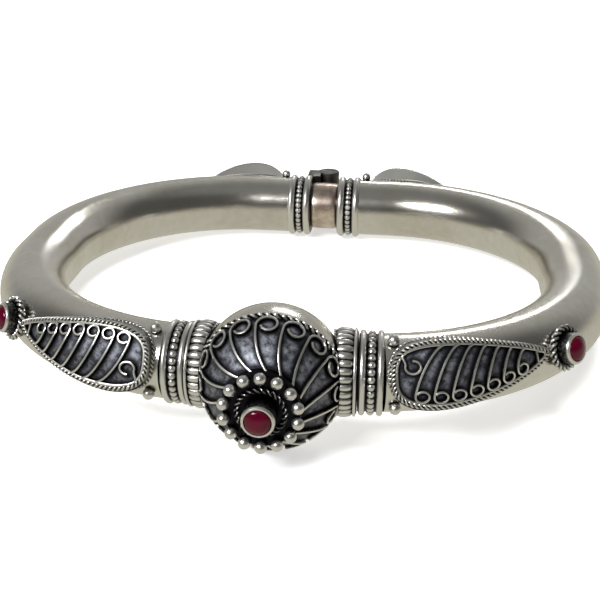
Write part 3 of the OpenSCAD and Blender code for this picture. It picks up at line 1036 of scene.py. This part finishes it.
# Room as mirrored in the silver: axis, where a shade starts and is whole, shade
WORLD_SHADES = (
    ("Z", 0, 0, (0.085, 0.083, 0.080)),
    ("Z", 0.70, 1.00, (0.20, 0.20, 0.195)),
    ("Y", 0.15, 0.80, (0.40, 0.40, 0.385)),
    ("Z", 0.20, -0.20, (0.56, 0.545, 0.47)),
)


def area_light(name, location, aim, size, power, colour=(1, 1, 1)):
    light = bpy.data.lights.new(name, "AREA")
    light.shape, light.size, light.size_y = "RECTANGLE", *size
    light.energy, light.color = power, colour
    lamp = bpy.data.objects.new(name, light)
    bpy.context.scene.collection.objects.link(lamp)
    lamp.location = location
    lamp.rotation_euler = (Vector(aim) - Vector(location)).to_track_quat("-Z", "Y").to_euler()
    return lamp


def surroundings(strength):
    """World: a dim room, brighter behind the bangle, and the pale floor below."""
    world = bpy.data.worlds.new("studio")
    bpy.context.scene.world = world
    world.use_nodes = True
    tree = world.node_tree
    tree.nodes.clear()
    parts = tree.nodes.new("ShaderNodeSeparateXYZ")
    tree.links.new(tree.nodes.new("ShaderNodeTexCoord").outputs["Generated"], parts.inputs[0])
    colour = None
    for axis, low, high, shade in WORLD_SHADES:
        if colour is None:
            colour = tree.nodes.new("ShaderNodeRGB").outputs[0]
            colour.default_value = (*shade, 1)
            continue
        share = tree.nodes.new("ShaderNodeMapRange")
        share.interpolation_type = "SMOOTHSTEP"
        share.inputs["From Min"].default_value, share.inputs["From Max"].default_value = low, high
        tree.links.new(parts.outputs[axis], share.inputs["Value"])
        mix = tree.nodes.new("ShaderNodeMix")
        mix.data_type = "RGBA"
        tree.links.new(share.outputs[0], mix.inputs[0])
        tree.links.new(colour, mix.inputs[6])
        mix.inputs[7].default_value = (*shade, 1)
        colour = mix.outputs[2]
    background = tree.nodes.new("ShaderNodeBackground")
    background.inputs["Strength"].default_value = strength
    tree.links.new(colour, background.inputs["Color"])
    output = tree.nodes.new("ShaderNodeOutputWorld")
    tree.links.new(background.outputs[0], output.inputs["Surface"])


# Hinge


def hinge_band():
    """Band between the ring sets, a little hollow towards its edges."""
    bm = bmesh.new()
    outline = [(BORE_R, -BAND_HALF)]
    for i in range(25):
        x = -1 + i / 12
        outline.append((BAND_R - 0.16 * x**6, BAND_HALF * x))
    outline.append((BORE_R, BAND_HALF))
    lathe(bm, outline, 128)
    place = Matrix.Translation((0, BACK_Y, 0)) @ Matrix.Rotation(math.pi / 2, 4, "Y")
    bmesh.ops.transform(bm, matrix=place, verts=bm.verts)
    return bm


def knuckle(bm, bottom, top, way, bore):
    """Barrel on the pin and the arm that holds it, hollowed to sit on the ring set."""
    edge = 0.12
    outline = [
        (bore, bottom), (BARREL_R - edge, bottom), (BARREL_R, bottom + edge),
        (BARREL_R, top - edge), (BARREL_R - edge, top), (bore, top),
    ]
    barrel = bmesh.new()
    lathe(barrel, outline, 48)
    bmesh.ops.translate(barrel, vec=(0, PIN_Y, 0), verts=barrel.verts)
    join(bm, barrel)
    inner = []
    for i in range(9):
        z = bottom + (top - bottom) * i / 8
        inner.append((BACK_Y + math.sqrt((RING_R + GAP) ** 2 - z * z), z))
    outline = inner + [(PIN_Y + 0.5, top), (PIN_Y + 0.5, bottom)]
    start = -ARM_REACH if way < 0 else bore + 0.45
    end = -bore - 0.45 if way < 0 else ARM_REACH
    across, up, ahead = Vector((0, 1, 0)), Vector((0, 0, 1)), Vector((1, 0, 0))
    frames = [frame_of(Vector((x, 0, 0)), across, up, ahead) for x in (start, end)]
    arm = bmesh.new()
    sweep(arm, outline, frames)
    edges = [e for e in arm.edges if len(e.link_faces) == 2 and e.calc_face_angle(0) > 1]
    bmesh.ops.bevel(arm, geom=edges, offset=0.14, segments=3, profile=0.5, affect="EDGES", material=-1)
    join(bm, arm)


# Sidebar


def swatch(name, description, default):
    return FloatVectorProperty(
        name=name, description=description, subtype="COLOR", min=0, max=1, default=default
    )


class BangleSizes(bpy.types.PropertyGroup):
    silver: swatch("Silver", "Colour of the polished tube and ball", (0.80, 0.78, 0.73))
    wire: swatch("Wire", "Colour of the rubbed wirework", (0.82, 0.81, 0.77))
    oxide: swatch("Oxide", "Colour of the blackened recesses", (0.012, 0.012, 0.016))
    bloom: swatch("Bloom", "Blue-grey sheen in the open cells", (0.44, 0.46, 0.52))
    bronze: swatch("Hinge band", "Colour of the band at the hinge", (0.80, 0.70, 0.60))
    ruby: swatch("Stone", "Colour of the cabochons", (0.070, 0.0005, 0.010))
    ribs: IntProperty(name="Dome wires", description="Curled wires round the dome", min=8, max=24, default=16)
    petals: IntProperty(name="Flower grains", description="Grains round the flower", min=8, max=18, default=14)
    petal_circle: FloatProperty(
        name="Flower circle", description="Radius of the circle of grains, mm", min=3.4, max=4.2, default=3.85
    )
    light: FloatProperty(
        name="Light", description="Brightness of the studio", min=0.1, max=4.0, default=1.0, subtype="FACTOR"
    )


class BANGLE_OT_tube(bpy.types.Operator):
    """Smooth polished tube of both halves"""

    bl_idname = "bangle.tube"
    bl_label = "Tube halves"

    def execute(self, context):
        for name, left, body in sides():
            bm = tube_skin(GAP if left else SEAM)
            finish_piece(
                bm, name + "_tube_skin", body, "polished_silver", left=left, replaces=[name + "_tube"]
            )
        return {"FINISHED"}


class BANGLE_OT_ball(bpy.types.Operator):
    """Polished back of the ball and the twisted wire round it"""

    bl_idname = "bangle.ball"
    bl_label = "Ball and its rope"

    def execute(self, context):
        finish_piece(ball_shell(), "ball_back", LEFT, "polished_silver", BALL, replaces=["ball_shell"])
        finish_piece(ball_rope(), "ball_twist", LEFT, "worked_silver", BALL, replaces=["ball_rope"])
        return {"FINISHED"}


class BANGLE_OT_dome(bpy.types.Operator):
    """Blackened dome and the curled wires on it"""

    bl_idname = "bangle.dome"
    bl_label = "Dome and its wires"

    def execute(self, context):
        ribs = DomeWires(context.scene.bangle.ribs)
        finish_piece(ribs.mesh(), "dome_wires", LEFT, "worked_silver", BALL, replaces=["dome_ribs"])
        floor = dome_floor(ribs.points())
        finish_piece(floor, "dome_floor", LEFT, "oxidised_silver", BALL, replaces=["ball_dome"])
        return {"FINISHED"}


class BANGLE_OT_flower(bpy.types.Operator):
    """Ring of grains, inner rope and cup with its stone"""

    bl_idname = "bangle.flower"
    bl_label = "Flower"

    def execute(self, context):
        sizes = context.scene.bangle
        work = flower(sizes.petals, sizes.petal_circle)
        finish_piece(work, "flower_work", LEFT, "worked_silver", FLOWER, replaces=["flower_setting"])
        finish_piece(stone(FLOWER_REACH), "flower_stone", LEFT, "ruby", FLOWER, replaces=["flower_ruby"])
        return {"FINISHED"}


class BANGLE_OT_collars(bpy.types.Operator):
    """Lobed collars beside the ball"""

    bl_idname = "bangle.collars"
    bl_label = "Collars"

    def execute(self, context):
        for name, left, body in sides():
            bm = collar(slotted=not left)
            bmesh.ops.transform(bm, matrix=along(SEAM_AT), verts=bm.verts)
            clear_of_ball(bm)
            finish_piece(
                bm, name + "_collar_work", LEFT, "worked_silver", left=left, replaces=[name + "_collar"]
            )
        return {"FINISHED"}


class BANGLE_OT_rings(bpy.types.Operator):
    """Plain and beaded wires at both ends of each half"""

    bl_idname = "bangle.rings"
    bl_label = "Ring sets"

    def execute(self, context):
        for name, left, body in sides():
            front = along(SEAM_AT) @ Matrix.Translation((GAP if left else SEAM, 0, 0))
            back = Matrix.Translation((BACK_SET_AT, BACK_Y, 0))
            for end, bm, place in (("front", front_rings(not left), front), ("back", back_rings(), back)):
                label = name + "_" + end
                finish_piece(
                    bm, label + "_ring_work", body, "worked_silver", place, left, replaces=[label + "_rings"]
                )
        return {"FINISHED"}


class BANGLE_OT_panels(bpy.types.Operator):
    """Filigree boxes on the front and back of each half, with the grains at their corners"""

    bl_idname = "bangle.panels"
    bl_label = "Filigree panels"

    def execute(self, context):
        for name, left, body in sides():
            for end, panels in (("front", FRONT_PANELS), ("back", BACK_PANELS)):
                panel, label = panels[name], name + "_" + end
                box = bmesh.new()
                panel.rim(box)
                finish_piece(
                    box, label + "_box", body, "worked_silver", left=left, replaces=[label + "_panel"]
                )
                finish_piece(panel.floor_sheet(), label + "_floor", body, "oxidised_silver", left=left)
                finish_piece(
                    panel.filigree(), label + "_wires", body, "worked_silver", left=left,
                    replaces=[label + "_curls"],
                )
            tip = BACK_PANEL_AT - BACK_PANEL - GRAIN_R - 0.15
            front = corner_stations(TUBE_END + GRAIN_R + GAP)
            back = corner_stations(HALF_LEN - BACK_TUBE_END - GRAIN_R - GAP) + [(tip, PANEL_TILT)]
            for end, stations in (("front", front), ("back", back)):
                label = name + "_" + end
                finish_piece(
                    grains(stations), label + "_beads", body, "worked_silver", left=left,
                    replaces=[label + "_grains"],
                )
        return {"FINISHED"}


class BANGLE_OT_side_settings(bpy.types.Operator):
    """Cup with a stone on the widest part of each half"""

    bl_idname = "bangle.side_settings"
    bl_label = "Side settings"

    def execute(self, context):
        place = outward(SIDE_AT, SIDE_TILT)
        for name, left, body in sides():
            finish_piece(
                side_setting(), name + "_side_work", body, "worked_silver", place, left,
                replaces=[name + "_side_setting"],
            )
            finish_piece(
                stone(SIDE_REACH), name + "_side_stone", body, "ruby", place, left,
                replaces=[name + "_side_ruby"],
            )
        return {"FINISHED"}


class BANGLE_OT_hinge(bpy.types.Operator):
    """Band, barrels and pin of the hinge, and the tongue of the clasp"""

    bl_idname = "bangle.hinge"
    bl_label = "Hinge and tongue"

    def execute(self, context):
        finish_piece(hinge_band(), "hinge_band_skin", LEFT, "hinge_bronze", replaces=["hinge_band"])
        bm = bmesh.new()
        knuckle(bm, KNUCKLE_HALF + 0.1, BARREL_HALF, -1, PIN_R + 0.02)
        knuckle(bm, -BARREL_HALF, -KNUCKLE_HALF - 0.1, -1, PIN_R + 0.02)
        finish_piece(bm, "left_barrels", LEFT, "hinge_metal", replaces=["left_knuckles"], sharp=30)
        bm = bmesh.new()
        knuckle(bm, -KNUCKLE_HALF, KNUCKLE_HALF, 1, PIN_R + 0.05)
        finish_piece(bm, "right_barrel", RIGHT, "hinge_metal", replaces=["right_knuckle"], sharp=30)
        dress_node("hinge_pin", "hinge_metal")
        dress_node("clasp_tongue", "hinge_metal")
        return {"FINISHED"}


class BANGLE_OT_stage(bpy.types.Operator):
    """Pale floor, soft studio light and the camera"""

    bl_idname = "bangle.stage"
    bl_label = "Stage"

    def execute(self, context):
        scene = context.scene
        bm = bmesh.new()
        bmesh.ops.create_grid(bm, x_segments=2, y_segments=2, size=2.0)
        mesh = bpy.data.meshes.new("floor")
        bm.to_mesh(mesh)
        bm.free()
        floor = bpy.data.objects.new("floor", mesh)
        scene.collection.objects.link(floor)
        paper = Finish(
            "paper",
            **{
                "Roughness": 0.9,
                "Specular IOR Level": 0.1,
                "Base Color": (0.9, 0.9, 0.9, 1.0),
                "Emission Color": (1.0, 1.0, 1.0, 1.0),
                "Emission Strength": 0.55,
            },
        )
        mesh.materials.append(paper.material)
        floor.visible_glossy = False
        light = scene.bangle.light
        overhead = area_light("overhead", (0.02, 0.0, 0.7), (0, 0, 0), (0.5, 0.4), 6.0 * light)
        overhead.visible_glossy = False
        area_light("window", (-0.28, -0.36, 0.38), (0, 0, 0), (0.24, 0.11), 2.8 * light)
        area_light("far_window", (0.04, 0.60, 0.30), (0, 0, 0), (0.22, 0.06), 0.3 * light)
        surroundings(light)
        view = bpy.data.cameras.new("camera")
        view.lens, view.sensor_width = 65.551224, 36
        view.clip_start, view.clip_end = 0.001, 20
        camera = bpy.data.objects.new("camera", view)
        camera.location = (0.01480882, -0.12691481, 0.06614737)
        camera.rotation_euler = [math.radians(a) for a in (63.8203702, 0.0664583, 6.7472452)]
        scene.collection.objects.link(camera)
        scene.camera = camera
        scene.view_settings.view_transform = "Standard"
        return {"FINISHED"}


PIECES = (
    BANGLE_OT_tube,
    BANGLE_OT_ball,
    BANGLE_OT_dome,
    BANGLE_OT_flower,
    BANGLE_OT_collars,
    BANGLE_OT_rings,
    BANGLE_OT_panels,
    BANGLE_OT_side_settings,
    BANGLE_OT_hinge,
    BANGLE_OT_stage,
)


class BANGLE_PT_sidebar(bpy.types.Panel):
    bl_label = "Bangle"
    bl_idname = "BANGLE_PT_sidebar"
    bl_space_type = "VIEW_3D"
    bl_region_type = "UI"
    bl_category = "Bangle"

    def draw(self, context):
        sizes = context.scene.bangle
        names = "silver wire oxide bloom bronze ruby ribs petals petal_circle light"
        for name in names.split():
            self.layout.prop(sizes, name)
        for operator in PIECES:
            self.layout.operator(operator.bl_idname)


def register():
    for cls in (BangleSizes, *PIECES, BANGLE_PT_sidebar):
        bpy.utils.register_class(cls)
    bpy.types.Scene.bangle = PointerProperty(type=BangleSizes)


def unregister():
    del bpy.types.Scene.bangle
    for cls in reversed((BangleSizes, *PIECES, BANGLE_PT_sidebar)):
        bpy.utils.unregister_class(cls)


def main():
    register()
    for operator in PIECES:
        group, name = operator.bl_idname.split(".")
        getattr(getattr(bpy.ops, group), name)()


if __name__ == "__main__":
    main()
